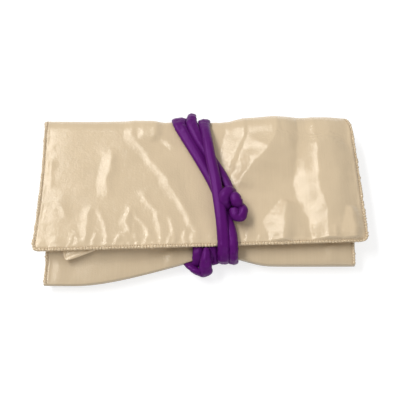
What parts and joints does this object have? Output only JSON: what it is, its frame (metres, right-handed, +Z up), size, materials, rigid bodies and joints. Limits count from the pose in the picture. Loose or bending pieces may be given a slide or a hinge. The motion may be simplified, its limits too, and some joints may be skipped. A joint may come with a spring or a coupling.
{
  "type": "jewelry roll",
  "caption": "Padded satin jewelry roll, folded shut in three with pockets, a ring bar and a zip inside, wound with a soft satin tie.",
  "frame": {"origin": "bottom centre of the closed roll, on the table that it lies on", "axes": "+X along the length, to the picture's right, +Y towards the top fold, away from the hem, +Z up out of the flap"},
  "size_m": [0.23, 0.1348, 0.0331],
  "materials": {
    "champagne_satin": "lustrous satin weave",
    "lining_satin": "soft satin",
    "batting": "fibre wadding",
    "purple_satin": "lustrous satin",
    "zip_tape": "woven tape",
    "zip_nylon": "moulded nylon",
    "brass": "polished"
  },
  "bodies": {
    "back": {"back_satin": "champagne_satin", "back_padding": "batting", "back_lining": "lining_satin", "top_fold_satin": "champagne_satin", "top_fold_lining": "lining_satin", "bottom_fold_satin": "champagne_satin", "bottom_fold_lining": "lining_satin", "left_pocket_panel": "lining_satin", "left_pocket_outer_side": "lining_satin", "left_pocket_inner_side": "lining_satin", "left_pocket_bottom": "lining_satin", "right_pocket_panel": "lining_satin", "right_pocket_outer_side": "lining_satin", "right_pocket_inner_side": "lining_satin", "right_pocket_bottom": "lining_satin", "zip_pocket_front_panel": "lining_satin", "zip_pocket_rear_panel": "lining_satin", "zip_pocket_front_seam": "lining_satin", "zip_pocket_rear_seam": "lining_satin", "zip_pocket_left_seam": "lining_satin", "zip_pocket_right_seam": "lining_satin", "zip_tape_front": "zip_tape", "zip_tape_rear": "zip_tape", "zip_teeth_front": "zip_nylon", "zip_teeth_rear": "zip_nylon", "zip_top_stop": "brass", "zip_bottom_stop": "brass", "ring_bar_strap": "lining_satin", "snap_socket": "brass"},
    "flap": {"flap_satin": "champagne_satin", "flap_padding": "batting", "flap_lining": "lining_satin", "flap_slip_pocket": "lining_satin"},
    "front": {"front_satin": "champagne_satin", "front_padding": "batting", "front_lining": "lining_satin"},
    "ring_bar": {"ring_bar_cover": "lining_satin", "ring_bar_core": "batting", "ring_bar_tab": "lining_satin", "snap_stud": "brass", "snap_cap": "brass"},
    "tie": {"tie_wrapped_cord": "purple_satin", "tie_knotted_cord": "purple_satin", "tie_tucked_end": "purple_satin", "tie_end_knot": "purple_satin"},
    "slider": {"zip_slider": "brass"},
    "pull": {"zip_pull": "brass"}
  },
  "joints": [
    {"name": "flap_fold", "type": "hinge", "parent": "back", "child": "flap", "pos_m": [0, 0.064, 0.0119], "axis": [-1, 0, 0], "range_deg": [0, 180], "deforming": ["top_fold_satin", "top_fold_lining"]},
    {"name": "front_fold", "type": "hinge", "parent": "back", "child": "front", "pos_m": [0, -0.052, 0.008], "axis": [0.9982, 0.06, 0], "range_deg": [0, 180], "deforming": ["bottom_fold_satin", "bottom_fold_lining"]},
    {"name": "ring_bar_lift", "type": "hinge", "parent": "back", "child": "ring_bar", "pos_m": [-0.079, 0.007, 0.00855], "axis": [0, -1, 0], "range_deg": [0, 44]},
    {"name": "tie_off", "type": "slide", "parent": "back", "child": "tie", "axis": [1, 0, 0], "range_m": [0, 0.155], "deforming": ["tie_wrapped_cord", "tie_knotted_cord", "tie_tucked_end", "tie_end_knot"]},
    {"name": "zip_slide", "type": "slide", "parent": "back", "child": "slider", "axis": [1, 0, 0], "range_m": [0, 0.158], "deforming": ["zip_teeth_front", "zip_teeth_rear"]},
    {"name": "pull_swing", "type": "hinge", "parent": "slider", "child": "pull", "pos_m": [-0.0835, 0.031, 0.0122], "axis": [0, 0, 1], "range_deg": [-25, 25]}
  ],
  "couplings": [
    {"joint": "front_fold", "follows": "flap_fold", "ratio": 1},
    {"joint": "ring_bar_lift", "follows": "flap_fold", "ratio": 0.24444},
    {"joint": "tie_off", "follows": "flap_fold", "m_per_rad": 0.049338}
  ]
}
